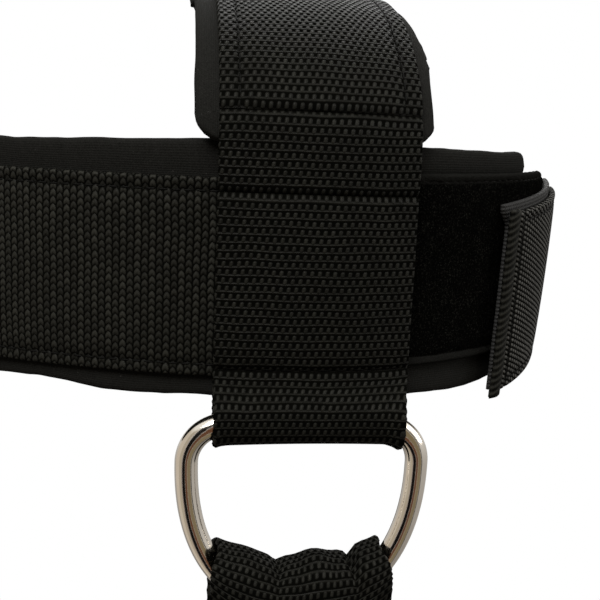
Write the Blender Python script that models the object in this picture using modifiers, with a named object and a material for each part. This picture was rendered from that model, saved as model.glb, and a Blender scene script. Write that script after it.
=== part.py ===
# Neck harness for strength training, as worn: a padded head band closed by a hook and loop tab,
# a padded strap over the crown, a D-ring on each side and a load strap with a load ring below it.
# Metres. +Z is up, +X is the back of the head, -Y is the wearer's left.
# The origin is where the crown of the head bears on the crown pad.

import bpy
import bmesh
import math
import numpy as np
from mathutils import Vector

# Stock: webbing, neoprene, hook and loop, wire
webbing_width = 0.0508
webbing_thick = 0.0018
pad_thick = 0.005
hook_thick = 0.0016
wire_radius = 0.003
seam_gap = 0.0003

# Head band, measured at the outer face of its pad
band_half_width = 0.081
band_to_front = 0.125
band_to_back = 0.082
band_roundness = 2.0
band_pad_height = 0.065
webbing_sits_low = 0.001
loop_sits_high = 0.0014
pad_corner = 0.006
pad_edge_round = 0.0012

# Closure at the back, as lengths round the band from the left crown seam
pad_near_end = 0.074
loop_near_end = 0.081
tab_free_end = 0.055
tab_root = 0.150
tab_end_skew = 0.0025
tab_droop = 0.0085
hook_root_margin = 0.028
hook_height = 0.053
hook_above_tab = 0.0025
pad_past_root = 0.014
hook_stands_out = 0.001
tab_flat_root = 0.002

# Crown
crown_height = 0.045
crown_fall = 0.7
crown_pad_width = 0.061
crown_pad_corner = 0.0075
crown_pad_clear = 0.0005
strap_tail_drop = 0.010
fold_leaves_band = 0.001

# D-rings, measured to the middle of the wire
ring_half_width = 0.0292
ring_corner = 0.0097
ring_shoulder = 0.010
ring_drop = 0.049
ring_bow_roundness = 2.25
bar_below_band = 0.0055
bar_clearance = 0.0006
fold_width = 0.0488
fold_rise_in = 0.001
fold_rise_out = 0.0045

# Load straps
load_strap_length = 0.096
gathered_width = 0.0456
loop_top_width = 0.041
bow_loop_half_width = 0.0074
bow_loop_clearance = 0.0008
bow_loop_sag = 0.0035
bow_loop_fullness = 0.8
bow_pivot_rise = 0.0055
gather_height = 0.0012
gather_place = 0.006
gather_spread = 0.006
lap_length = 0.030
lap_above_bar = 0.040
ply_run_in = 0.006
sewn_below_bow = 0.016
sewn_above_bar = 0.018

# Levels and layers that follow from the sizes above
webbing_out = seam_gap + webbing_thick / 2
tail_out = webbing_out + webbing_thick + seam_gap
strap_out = tail_out + webbing_thick + seam_gap
crown_pad_out = strap_out - webbing_thick / 2 - seam_gap - pad_thick / 2
bar_out = (tail_out + strap_out) / 2
hook_out = webbing_out + webbing_thick / 2 + seam_gap + hook_thick / 2
tab_out = hook_out + hook_thick / 2 + seam_gap + webbing_thick / 2
strap_apex = pad_thick + seam_gap + webbing_thick / 2
band_top = strap_apex - crown_height
band_bottom = band_top - band_pad_height
band_middle = (band_top + band_bottom) / 2
webbing_middle = band_middle - webbing_sits_low
loop_middle = band_middle + loop_sits_high
bar_height = band_bottom - bar_below_band
bar_side = band_half_width + bar_out
bow_height = bar_height - ring_drop
load_bar_height = bow_height - load_strap_length

# How finely the soft sheets are divided
band_steps = 64
strap_columns = 8
crown_half_steps = 14
fold_steps = 8


def clear_scene():
    for item in list(bpy.data.objects):
        bpy.data.objects.remove(item, do_unlink=True)


def make_collection(name):
    group = bpy.data.collections.new(name)
    bpy.context.scene.collection.children.link(group)
    return group


def make_material(name, colour, roughness, metallic=0.0):
    material = bpy.data.materials.new(name)
    material.use_nodes = True
    shader = material.node_tree.nodes["Principled BSDF"]
    shader.inputs["Base Color"].default_value = (*colour, 1.0)
    shader.inputs["Roughness"].default_value = roughness
    shader.inputs["Metallic"].default_value = metallic
    return material


def superellipse_fall(across, half_length, roundness):
    """Share of the full width that is left at a distance across from the middle."""
    ratio = min(abs(across) / half_length, 1.0)
    return (1.0 - ratio ** roundness) ** (1.0 / roundness)


def band_share(x):
    """Share of the band's half width at x: fuller towards the forehead than towards the back."""
    reach = band_to_back if x > 0 else band_to_front
    return superellipse_fall(x, reach, band_roundness)


def trace_band():
    """The band's outline seen from above, with its length measured from the left crown seam."""
    turns = np.linspace(-math.pi / 2, 1.5 * math.pi, 4001)
    power = 2.0 / band_roundness
    cosines = np.cos(turns)
    sines = np.sin(turns)
    reach = np.where(cosines > 0, band_to_back, band_to_front)
    xs = reach * np.sign(cosines) * np.abs(cosines) ** power
    ys = band_half_width * np.sign(sines) * np.abs(sines) ** power
    lengths = np.concatenate([[0.0], np.cumsum(np.hypot(np.diff(xs), np.diff(ys)))])
    return xs, ys, lengths


outline_x, outline_y, outline_length = trace_band()
band_perimeter = float(outline_length[-1])


def on_outline(length):
    wrapped = length % band_perimeter
    x = np.interp(wrapped, outline_length, outline_x)
    y = np.interp(wrapped, outline_length, outline_y)
    return Vector((float(x), float(y), 0.0))


def band_point(length, out, z):
    """A point at a length round the band, moved out from the pad's outer face, at height z."""
    step = band_perimeter / 400
    along = (on_outline(length + step) - on_outline(length - step)).normalized()
    outward = Vector((along.y, -along.x, 0.0))
    point = on_outline(length) + outward * out
    point.z = z
    return point


def make_sheet(name, columns, thickness, material, group, pivot=(0, 0, 0), edge_round=0.0):
    """A sheet through columns of points, given its thickness about that middle surface."""
    across = len(columns) - 1
    along = len(columns[0]) - 1
    grid = bmesh.new()
    bmesh.ops.create_grid(grid, x_segments=across, y_segments=along, size=0.5)
    for vert in grid.verts:
        column = round((vert.co.x + 0.5) * across)
        row = round((vert.co.y + 0.5) * along)
        vert.co = Vector(columns[column][row]) - Vector(pivot)
    mesh = bpy.data.meshes.new(name)
    grid.to_mesh(mesh)
    grid.free()
    mesh.shade_smooth()
    mesh.materials.append(material)
    sheet = bpy.data.objects.new(name, mesh)
    sheet.location = pivot
    group.objects.link(sheet)
    wall = sheet.modifiers.new("thickness", "SOLIDIFY")
    wall.thickness = thickness
    wall.offset = 0.0
    wall.use_even_offset = True
    if edge_round > 0:
        edge = sheet.modifiers.new("cut edge", "BEVEL")
        edge.width = edge_round
        edge.segments = 2
        edge.limit_method = "ANGLE"
        edge.angle_limit = math.radians(60)
    return sheet


def corner_cut(from_edge, radius):
    """How far a rounded corner holds the end back, at a distance in from the side edge."""
    inside = max(radius - from_edge, 0.0)
    return radius - math.sqrt(radius ** 2 - inside ** 2)


def spread(start, stop, steps):
    return [start + (stop - start) * i / steps for i in range(steps + 1)]


def mirrored(path):
    return [(x, -y, z) for x, y, z in path]


def bar_reach(x):
    """How far the ring's wire reaches from its straight bar's axis at x, where its corners fall."""
    past = abs(x) - (ring_half_width - ring_corner)
    inner_corner = ring_corner - wire_radius
    if past <= 0:
        return wire_radius
    return ring_corner - math.sqrt(max(inner_corner ** 2 - past ** 2, 0.0))


def bow_level(x):
    """Height of the wire's middle in the bow, below the bar."""
    share = superellipse_fall(x, ring_half_width, ring_bow_roundness)
    return -ring_shoulder - (ring_drop - ring_shoulder) * share


def bow_slope(x):
    """How steeply the wire's middle climbs along the bow at x."""
    ratio = abs(x) / ring_half_width
    steepness = (1.0 - ratio ** ring_bow_roundness) ** (1.0 / ring_bow_roundness - 1.0)
    return (ring_drop - ring_shoulder) / ring_half_width * ratio ** (ring_bow_roundness - 1.0) * steepness


def fold_round_bar(x, side, bar_z, start_sign, start_rise, stop_rise):
    """Half turn of webbing under a straight bar, as (y, z). It starts where y is start_sign."""
    radius = bar_reach(x) + bar_clearance + webbing_thick / 2
    points = [(side + start_sign * radius, bar_z + start_rise)]
    for angle in spread(0.0, math.pi, fold_steps):
        y = side + start_sign * radius * math.cos(angle)
        points.append((y, bar_z - radius * math.sin(angle)))
    points.append((side - start_sign * radius, bar_z + stop_rise))
    return points


def crown_point(x, angle, inward=0.0):
    """A point on the crown strap's middle surface, or a distance inward from it."""
    share = band_share(x)
    half = band_half_width * share + strap_out
    rise = crown_height * share ** crown_fall
    y = -half * math.cos(angle)
    z = band_top + rise * math.sin(angle)
    normal = Vector((0.0, -rise * math.cos(angle), half * math.sin(angle))).normalized()
    return Vector((x, y, z)) - normal * inward


def half_strap(x):
    """The crown strap on the wearer's left at x: tail, fold round the ring's bar, front, crown."""
    face = -band_half_width * band_share(x)
    seam = webbing_middle - webbing_width / 2 - fold_leaves_band
    path = [(x, face - tail_out, z) for z in spread(band_top - strap_tail_drop, seam, 4)]
    fold_x = x * fold_width / webbing_width
    fold = fold_round_bar(fold_x, -bar_side, bar_height, 1.0, fold_rise_in, fold_rise_out)
    path += [(fold_x, y, z) for y, z in fold]
    path += [(x, face - strap_out, z) for z in spread(seam, band_top, 6)][:-1]
    path += [tuple(crown_point(x, a)) for a in spread(0.0, math.pi / 2, crown_half_steps)]
    return path


def make_band(group, neoprene, nylon, loop, hook):
    pad_start = tab_root - pad_past_root
    pad_stop = band_perimeter + pad_near_end
    columns = []
    for height in spread(0.0, band_pad_height, 6):
        from_edge = min(height, band_pad_height - height)
        cut = corner_cut(from_edge, pad_corner)
        z = band_bottom + height
        stations = spread(pad_start + cut, pad_stop - cut, band_steps)
        columns.append([band_point(s, -pad_thick / 2, z) for s in stations])
    make_sheet("band_pad", columns, pad_thick, neoprene, group, edge_round=pad_edge_round)

    levels = spread(-webbing_width / 2, webbing_width / 2, 4)
    butt = seam_gap / 2
    around = spread(tab_root, band_perimeter - butt, band_steps)
    columns = [[band_point(s, webbing_out, webbing_middle + rise) for s in around] for rise in levels]
    make_sheet("band_webbing", columns, webbing_thick, nylon, group)

    around = spread(butt, loop_near_end, 16)
    columns = [[band_point(s, webbing_out, loop_middle + rise) for s in around] for rise in levels]
    make_sheet("loop_strip", columns, webbing_thick, loop, group)

    pivot = band_point(tab_root, webbing_out + webbing_thick / 2, webbing_middle)
    columns = []
    for rise in levels:
        lean = tab_end_skew * rise / webbing_width
        stations = spread(tab_free_end + lean, tab_root - seam_gap, 26)
        columns.append([band_point(s, tab_layer(s), tab_middle(s) + rise) for s in stations])
    make_sheet("tab_webbing", columns, webbing_thick, nylon, group, pivot)

    columns = []
    hook_top = webbing_width / 2 + hook_above_tab
    for rise in spread(hook_top - hook_height, hook_top, 2):
        lean = tab_end_skew * rise / webbing_width
        hook_end = tab_free_end - hook_stands_out + lean
        stations = spread(hook_end, tab_root - hook_root_margin, 18)
        columns.append([band_point(s, hook_out, tab_middle(s) + rise) for s in stations])
    make_sheet("tab_hook_strip", columns, hook_thick, hook, group, pivot)


def tab_middle(length):
    """Height of the tab's middle line, which droops evenly from its root to its free end."""
    return webbing_middle - tab_droop * (tab_root - length) / (tab_root - tab_free_end)


def tab_layer(length):
    """The tab lies over the hook strip and comes down to the band webbing at its root."""
    start = tab_root - hook_root_margin + tab_flat_root
    stop = tab_root - tab_flat_root
    share = min(max((length - start) / (stop - start), 0.0), 1.0)
    ease = share * share * (3 - 2 * share)
    return tab_out + (webbing_out - tab_out) * ease


def make_crown(group, neoprene, nylon):
    columns = []
    for x in spread(-crown_pad_width / 2, crown_pad_width / 2, 8):
        cut = corner_cut(crown_pad_width / 2 - abs(x), crown_pad_corner)
        rise = crown_height * band_share(x) ** crown_fall
        start = math.asin((crown_pad_clear + cut) / rise)
        inward = strap_out - crown_pad_out
        turns = spread(start, math.pi - start, 2 * crown_half_steps)
        columns.append([crown_point(x, a, inward) for a in turns])
    make_sheet("crown_pad", columns, pad_thick, neoprene, group, edge_round=pad_edge_round)

    columns = []
    for x in spread(-webbing_width / 2, webbing_width / 2, strap_columns):
        left = half_strap(x)
        columns.append(left + mirrored(left[:-1])[::-1])
    make_sheet("crown_strap", columns, webbing_thick, nylon, group)


def ring_points():
    """The middle of a D-ring's wire in its own plane, bar at the top, going round once."""
    flat = ring_half_width - ring_corner
    half = [(x, 0.0) for x in spread(0.0, flat, 3)]
    for angle in spread(0.0, math.pi / 2, 4)[1:]:
        half.append((flat + ring_corner * math.sin(angle), ring_corner * (math.cos(angle) - 1)))
    power = 2.0 / ring_bow_roundness
    for angle in spread(0.0, math.pi / 2, 10):
        x = ring_half_width * math.cos(angle) ** power
        z = -ring_shoulder - (ring_drop - ring_shoulder) * math.sin(angle) ** power
        half.append((max(x, 0.0), z))
    other = [(-x, z) for x, z in half[1:-1]]
    return half + other[::-1]


def make_ring(name, side, bar_z, steel, group):
    points = ring_points()
    curve = bpy.data.curves.new(name, "CURVE")
    curve.dimensions = "3D"
    curve.bevel_depth = wire_radius
    curve.bevel_resolution = 3
    spline = curve.splines.new("POLY")
    spline.points.add(len(points) - 1)
    for point, (x, z) in zip(spline.points, points):
        point.co = (x, 0.0, z, 1.0)
    spline.use_cyclic_u = True
    curve.materials.append(steel)
    ring = bpy.data.objects.new(name, curve)
    ring.location = (0.0, side, bar_z)
    group.objects.link(ring)
    return ring


def loop_top(x):
    """Height of the loop over the bow, below the bar. Webbing is too stiff to follow the bow: it
    bears on the wire at its two edges, and sags and gathers between them."""
    edge = loop_top_width / 2
    snug = (wire_radius + bow_loop_clearance + webbing_thick / 2) * math.hypot(1.0, bow_slope(edge))
    sag = bow_loop_sag * (1.0 - (x / edge) ** 2)
    gather = gather_height * math.exp(-((x - gather_place) / gather_spread) ** 2)
    return bow_level(edge) + snug - sag + gather


def load_strap_path(share):
    """One column of a load strap, share from -1 to 1 across it, as (x, y, z) from the ring's bar."""
    top_x = share * loop_top_width / 2
    side_x = share * gathered_width / 2
    flat_x = share * webbing_width / 2
    ply = (webbing_thick + seam_gap) / 2
    bow = bow_level(top_x)
    rise = loop_top(top_x) - bow
    half_loop = bow_loop_half_width + webbing_thick / 2
    sewn_top = -ring_drop - sewn_below_bow
    bar = -ring_drop - load_strap_length
    sewn_low = bar + sewn_above_bar
    lap_low = bar + lap_above_bar

    path = [(flat_x, ply, z) for z in spread(lap_low, sewn_top - ply_run_in, 4)]
    path.append(((flat_x + side_x) / 2, ply, sewn_top))
    for angle in spread(0.0, math.pi, fold_steps + 2):
        up = math.sin(angle) ** bow_loop_fullness
        out = math.copysign(abs(math.cos(angle)) ** bow_loop_fullness, math.cos(angle))
        path.append((side_x + (top_x - side_x) * up, half_loop * out, bow + rise * up))
    path.append(((flat_x + side_x) / 2, -ply, sewn_top))
    path += [(flat_x, -ply, z) for z in spread(sewn_top - ply_run_in, sewn_low, 7)]
    fold_x = share * fold_width / 2
    fold = fold_round_bar(fold_x, 0.0, bar, -1.0, fold_rise_out, fold_rise_in)
    path += [(fold_x, y, z) for y, z in fold]
    path.append((flat_x, ply, sewn_low))
    path.append((flat_x, ply, lap_low - ply_run_in))
    outer = ply + webbing_thick + seam_gap
    path += [(flat_x, outer, z) for z in spread(lap_low - seam_gap, lap_low + lap_length, 3)]
    return path


def make_load_strap(name, facing, nylon, group):
    """facing is -1 on the wearer's left and 1 on the right. The lap lies on the inner side."""
    pivot = (0.0, facing * bar_side, bow_height + bow_pivot_rise)
    columns = []
    for share in spread(-1.0, 1.0, strap_columns):
        path = load_strap_path(share)
        columns.append([(x, facing * (bar_side - y), bar_height + z) for x, y, z in path])
    if facing > 0:
        columns.reverse()
    return make_sheet(name, columns, webbing_thick, nylon, group, pivot)


def main():
    clear_scene()
    group = make_collection("neck_harness")
    neoprene = make_material("neoprene", (0.018, 0.018, 0.019), 0.85)
    nylon = make_material("nylon_webbing", (0.022, 0.021, 0.019), 0.6)
    loop = make_material("loop_pile", (0.006, 0.006, 0.006), 0.95)
    hook = make_material("hook_tape", (0.05, 0.05, 0.05), 0.6)
    steel = make_material("nickel_plated_steel", (0.78, 0.74, 0.68), 0.12, 1.0)
    make_band(group, neoprene, nylon, loop, hook)
    make_crown(group, neoprene, nylon)
    for word, facing in (("left", -1.0), ("right", 1.0)):
        side = facing * bar_side
        make_ring("side_ring_" + word, side, bar_height, steel, group)
        make_load_strap("load_strap_" + word, facing, nylon, group)
        make_ring("load_ring_" + word, side, load_bar_height, steel, group)


main()
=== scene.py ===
# Neck harness for strength training: webbing, neoprene, hook and loop tape and nickel rings.
# Metres. +Z is up, +X is the back of the head, -Y is the wearer's left.

import math
import bmesh
import bpy
import numpy as np
from mathutils import Matrix, Vector, noise


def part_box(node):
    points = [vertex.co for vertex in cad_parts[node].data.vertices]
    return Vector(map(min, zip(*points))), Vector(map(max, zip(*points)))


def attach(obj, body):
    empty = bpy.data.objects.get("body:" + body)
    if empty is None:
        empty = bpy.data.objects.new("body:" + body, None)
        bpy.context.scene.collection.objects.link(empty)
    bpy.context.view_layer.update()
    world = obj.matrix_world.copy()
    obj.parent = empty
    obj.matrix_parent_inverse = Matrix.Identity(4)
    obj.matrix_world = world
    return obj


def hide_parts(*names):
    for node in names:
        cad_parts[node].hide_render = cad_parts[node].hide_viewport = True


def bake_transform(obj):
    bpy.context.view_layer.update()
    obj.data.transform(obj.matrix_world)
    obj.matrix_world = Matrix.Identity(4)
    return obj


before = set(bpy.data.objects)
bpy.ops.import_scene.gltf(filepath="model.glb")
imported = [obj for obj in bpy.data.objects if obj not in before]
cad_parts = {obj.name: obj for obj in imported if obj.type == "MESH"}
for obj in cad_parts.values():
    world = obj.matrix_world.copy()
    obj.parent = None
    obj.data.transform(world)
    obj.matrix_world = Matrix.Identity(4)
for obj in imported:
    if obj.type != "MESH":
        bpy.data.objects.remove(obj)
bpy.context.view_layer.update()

# Camera
# It looks at the wearer's left side from slightly in front and above, close enough for the strap,
# the ring and the ends of the closure to fill the picture. It sees nothing past the near side.
camera_aim = Vector((-0.0044, -0.0873, -0.0762))
camera_distance = 0.240
camera_azimuth = math.radians(-7.5)
camera_elevation = math.radians(11)
camera_roll = math.radians(2.4)
near_side_depth = 0.073
camera_back = Vector((
    math.sin(camera_azimuth) * math.cos(camera_elevation),
    -math.cos(camera_azimuth) * math.cos(camera_elevation),
    math.sin(camera_elevation),
))
camera = bpy.data.objects.new("camera", bpy.data.cameras.new("camera"))
camera.data.lens = 57.7
camera.data.sensor_width = 36
camera.data.clip_start = 0.01
camera.data.clip_end = camera_distance + near_side_depth
camera.matrix_world = (
    Matrix.Translation(camera_aim + camera_back * camera_distance)
    @ camera_back.to_track_quat("Z", "Y").to_matrix().to_4x4()
    @ Matrix.Rotation(camera_roll, 4, "Z")
)
bpy.context.scene.collection.objects.link(camera)
bpy.context.scene.camera = camera
bpy.context.scene.view_settings.view_transform = "Standard"

# Studio
# A white room: the sky lights everything softly and the camera sees it plain white. Dark and tan
# stripes at eye level give the polished rings something to mirror.
floor_height = -0.42
floor_radius = 0.75
room_low = (0.24, 0.225, 0.21)
room_high = (1.0, 0.985, 0.95)
plain_white = (1.0, 1.0, 1.0)
lamp_white = (1.0, 0.98, 0.94)
near_side = (0.0, -0.08, -0.08)
stripe_top = 0.62
stripe_top_sharpness = 8.0
stripe_sharpness = 30.0
room_stripes = (
    (-2.10, -1.30, (0.62, 0.56, 0.48)),
    (-1.30, -0.84, (0.46, 0.41, 0.33)),
    (-0.84, -0.76, (0.20, 0.10, 0.08)),
    (-0.74, -0.20, (0.006, 0.005, 0.005)),
    (-0.20, 0.16, (0.13, 0.060, 0.032)),
    (0.16, 0.74, (0.22, 0.18, 0.11)),
    (0.76, 0.92, (0.02, 0.018, 0.015)),
)


class Number:
    """A number that changes over a surface. Arithmetic on it adds the nodes that work it out."""

    def __init__(self, finish, socket):
        self.finish = finish
        self.socket = socket

    def math(self, operation, *others):
        return self.finish.add("ShaderNodeMath", {"operation": operation}, [self, *others])

    def __add__(self, other):
        return self.math("ADD", other)

    def __sub__(self, other):
        return self.math("SUBTRACT", other)

    def __rsub__(self, other):
        return self * -1.0 + other

    def __mul__(self, other):
        return self.math("MULTIPLY", other)

    def __truediv__(self, other):
        return self.math("DIVIDE", other)

    def __abs__(self):
        return self.math("ABSOLUTE")

    __radd__ = __add__
    __rmul__ = __mul__

    def ribs(self, pitch):
        """Ribs one pitch apart along it, 0 to 1."""
        return (self * (2 * math.pi / pitch)).math("SINE") * 0.5 + 0.5

    def clamp(self):
        """The same number kept between 0 and 1."""
        self.socket.node.use_clamp = True
        return self


class Finish:
    """A material, or the world's light, as it is being mixed."""

    def __init__(self, owner):
        owner.use_nodes = True
        self.owner = owner
        self.tree = owner.node_tree
        self.tree.nodes.clear()

    def add(self, kind, settings=None, sockets=(), out=0):
        """One node: its settings, then a value or a link for each socket, by place or by name."""
        node = self.tree.nodes.new(kind)
        for name, value in (settings or {}).items():
            setattr(node, name, value)
        pairs = sockets.items() if isinstance(sockets, dict) else enumerate(sockets)
        for key, value in pairs:
            if isinstance(value, Number):
                self.tree.links.new(value.socket, node.inputs[key])
            else:
                node.inputs[key].default_value = value
        return Number(self, node.outputs[out]) if node.outputs else None

    def mix(self, share, first, second):
        """A colour between two, as share goes from 0 to 1."""
        first, second = (ink if isinstance(ink, Number) else (*ink, 1.0) for ink in (first, second))
        sockets = {0: share, 6: first, 7: second}
        return self.add("ShaderNodeMix", {"data_type": "RGBA"}, sockets, out=2)

    def noise(self, scale, detail=2.0, roughness=0.5, place=None):
        """Soft random patches, 0 to 1, with scale of them to a metre."""
        place = place or self.add("ShaderNodeTexCoord", out="Object")
        sockets = {"Vector": place, "Scale": scale, "Detail": detail, "Roughness": roughness}
        return self.add("ShaderNodeTexNoise", {"noise_dimensions": "3D"}, sockets)

    def split(self, vector):
        """The x, y and z of a vector."""
        first = self.add("ShaderNodeSeparateXYZ", sockets=[vector])
        return [Number(self, output) for output in first.socket.node.outputs]

    def weave_map(self):
        """How far across and along its own strip a point lies, in metres."""
        return self.split(self.add("ShaderNodeUVMap", {"uv_map": "weave"}))[:2]

    def pressed(self):
        """How far stitches draw the strip in there, 0 to 1. Woven webbing darkens its colour by it,
        as painted shade in the stitched grooves.
        """
        depth = self.split(self.add("ShaderNodeUVMap", {"uv_map": "pressed"}))[0]
        return depth.math("MINIMUM", 1.0)

    def bump(self, height, distance):
        return self.add("ShaderNodeBump", sockets={"Height": height, "Distance": distance})

    def surface(self, **sockets):
        named = {name.replace("_", " "): value for name, value in sockets.items()}
        return self.add("ShaderNodeBsdfPrincipled", sockets=named)

    def done(self, shader):
        """Makes shader the material's surface and gives the material."""
        self.add("ShaderNodeOutputMaterial", sockets=[shader])
        return self.owner

    def matt(self, colour, roughness, sheen, height, relief):
        """Ends a matt finish: its colour, and a height that stands up by about the relief."""
        return self.done(self.surface(Base_Color=colour, Roughness=roughness,
                                      Specular_IOR_Level=sheen, Normal=self.bump(height, relief)))


def new_finish(name):
    return Finish(bpy.data.materials.new(name))


world = bpy.data.worlds.new("white room")
bpy.context.scene.world = world
finish = Finish(world)
way = finish.add("ShaderNodeTexCoord", out="Generated")
sideways, forward, upward = finish.split(way)
bearing = sideways.math("ARCTAN2", forward * -1.0)
overhead = (upward * 0.6 + 0.5).clamp()
room = finish.mix(overhead, room_low, room_high)
level = ((stripe_top - upward) * stripe_top_sharpness).clamp()
for start, stop, colour in room_stripes:
    begun = ((bearing - start) * stripe_sharpness).clamp()
    inside = begun * ((stop - bearing) * stripe_sharpness).clamp()
    room = finish.mix(inside * level, room, colour)
seen = finish.add("ShaderNodeLightPath", out="Is Camera Ray")
colour = finish.mix(seen, room, plain_white)
background = finish.add("ShaderNodeBackground", sockets={"Color": colour, "Strength": 1.0})
finish.add("ShaderNodeOutputWorld", sockets=[background])


def hang_light(name, place, aim, size, power, colour):
    lamp = bpy.data.lights.new(name, "AREA")
    lamp.shape = "SQUARE"
    lamp.size = size
    lamp.energy = power
    lamp.color = colour
    holder = bpy.data.objects.new(name, lamp)
    turn = (Vector(place) - Vector(aim)).to_track_quat("Z", "Y")
    holder.matrix_world = Matrix.Translation(place) @ turn.to_matrix().to_4x4()
    bpy.context.scene.collection.objects.link(holder)


def put_down(name, shape, finishes):
    """Makes a bmesh an object with its finishes."""
    mesh = bpy.data.meshes.new(name)
    shape.to_mesh(mesh)
    shape.free()
    mesh.shade_smooth()
    for finish in finishes:
        mesh.materials.append(finish)
    piece = bpy.data.objects.new(name, mesh)
    bpy.context.scene.collection.objects.link(piece)
    return piece


flat = bmesh.new()
bmesh.ops.create_circle(flat, cap_ends=True, segments=96, radius=floor_radius)
bmesh.ops.translate(flat, verts=flat.verts, vec=(0.0, 0.0, floor_height))
finish = new_finish("pale_floor")
grain = finish.noise(30.0)
colour = finish.mix(grain, (0.90, 0.90, 0.90), (0.93, 0.93, 0.93))
place = finish.add("ShaderNodeTexCoord", out="Object")
middle = finish.add("ShaderNodeMapping", sockets={"Vector": place, "Scale": (1.0, 1.0, 0.0)})
away = finish.add("ShaderNodeVectorMath", {"operation": "LENGTH"}, [middle], out=1)
faded = ((floor_radius - away) / (floor_radius * 0.6)).clamp()
shader = finish.surface(Base_Color=colour, Roughness=0.9, Alpha=faded)
floor = put_down("floor", flat, [finish.done(shader)])
floor.visible_glossy = False
floor.visible_diffuse = False


hang_light("key", (-0.28, -0.58, 0.68), near_side, size=0.5, power=12.0, colour=lamp_white)
hang_light("fill", (0.80, -0.20, 0.20), near_side, size=0.5, power=3.5, colour=lamp_white)
hang_light("back", (0.2, 0.9, 0.6), (0.0, 0.0, -0.1), size=0.8, power=6.0, colour=plain_white)


# Band pad
# A strip of foam rubber faced with black jersey, cut with shears, so its edges wander and show the
# bare foam. The webbing is sewn down on it in two rows that draw grooves into both of its faces.
pad_low, pad_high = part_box("band_pad")
webbing_width = 0.0508
half_webbing = webbing_width / 2
webbing_thick = 0.0018
pad_thick = 0.005
inner_face = -pad_thick * 0.33
seam_gap = 0.0003
hook_thick = 0.0016
band_half_width = 0.081
band_to_front = 0.125
band_to_back = 0.082
band_roundness = 2.0
band_top = pad_high.z
band_bottom = pad_low.z
band_middle = (band_top + band_bottom) / 2
webbing_middle = band_middle - 0.001
loop_middle = band_middle + 0.0014
pad_near_end = 0.074
pad_far_end = 0.136
pad_corner = 0.006
edge_row = 0.0032
loop_edge_row = 0.0022
tab_root = 0.150
back_tilt = 0.0030
back_tilt_at = 0.102
back_tilt_reach = 0.036
thread_radius = 0.00028
stitch_fill = 0.8
row_run_in = 0.002
groove_width = 0.0016
groove_depth = 0.34
groove_deepest = 0.6
rim_puff_width = 0.003

turns = np.linspace(-math.pi / 2, 1.5 * math.pi, 4001)
outline_reach = np.where(np.cos(turns) > 0, band_to_back, band_to_front)
outline_x = outline_reach * np.sign(np.cos(turns)) * np.abs(np.cos(turns)) ** (2 / band_roundness)
outline_y = band_half_width * np.sign(np.sin(turns)) * np.abs(np.sin(turns)) ** (2 / band_roundness)


def run_of(points):
    """How far along a line of points each one lies."""
    steps = np.linalg.norm(np.diff(points, axis=0), axis=1)
    return np.concatenate([[0.0], np.cumsum(steps)])


outline_length = run_of(np.stack([outline_x, outline_y], axis=1))
perimeter = outline_length[-1]


def on_outline(lengths):
    wrapped = lengths % perimeter
    xs = np.interp(wrapped, outline_length, outline_x)
    return np.stack([xs, np.interp(wrapped, outline_length, outline_y)], axis=-1)


def bell(distance, width):
    """1 at no distance, falling smoothly to almost nothing two widths away."""
    return np.exp(-((distance / width) ** 2))


def station(xs, ys, zs):
    """Points from their parts, such as one place along a strap for all its columns."""
    return np.stack(np.broadcast_arrays(xs, ys, zs), axis=-1)


def ramp(values, start, stop):
    """0 up to start, then evenly to 1 at stop and beyond it."""
    return np.clip((values - start) / (stop - start), 0, 1)


def round_band(lengths, out, heights):
    """Points at lengths round the band from the left crown seam, out from the pad's face. Under the
    closing tab the band's lower edge lies closer to the head."""
    lengths, out, heights = np.broadcast_arrays(lengths, out, heights)
    down = (band_top - heights) / (band_top - band_bottom)
    out = out - back_tilt * down ** 2 * bell(lengths % perimeter - back_tilt_at, back_tilt_reach)
    step = perimeter / 400
    ahead = on_outline(lengths + step) - on_outline(lengths - step)
    ahead /= np.linalg.norm(ahead, axis=-1, keepdims=True)
    flat = on_outline(lengths)
    xs = flat[..., 0] + out * ahead[..., 1]
    return station(xs, flat[..., 1] - out * ahead[..., 0], heights)


def wander(lengths, size, wave, seed):
    """A smooth random wander of about that size and wave length, the same each time."""
    flat = np.array(lengths).ravel()
    values = [noise.noise(Vector((x / wave, seed, 0.5))) for x in flat]
    return np.array(values).reshape(np.shape(lengths)) * size * 2.0


def shares(start, stop, spacing):
    return np.linspace(start, stop, int(math.ceil(abs(stop - start) / spacing)) + 1)


def places_across(width, rows, spacing=0.002):
    """Distances across a strip, close together at its edges and beside its rows of stitches."""
    near = (0.0003, 0.0007, 0.0013)
    row_step = 0.0005
    least = row_step / 2
    places = list(shares(0.0, width, spacing)) + list(near) + [width - place for place in near]
    for row in rows:
        places += [row + offset * row_step for offset in (-2, -1, 0, 1, 2)]
    kept = [0.0]
    for place in sorted(places):
        if place - kept[-1] > least and place < width - least:
            kept.append(place)
    return np.array(kept + [width])


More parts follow.
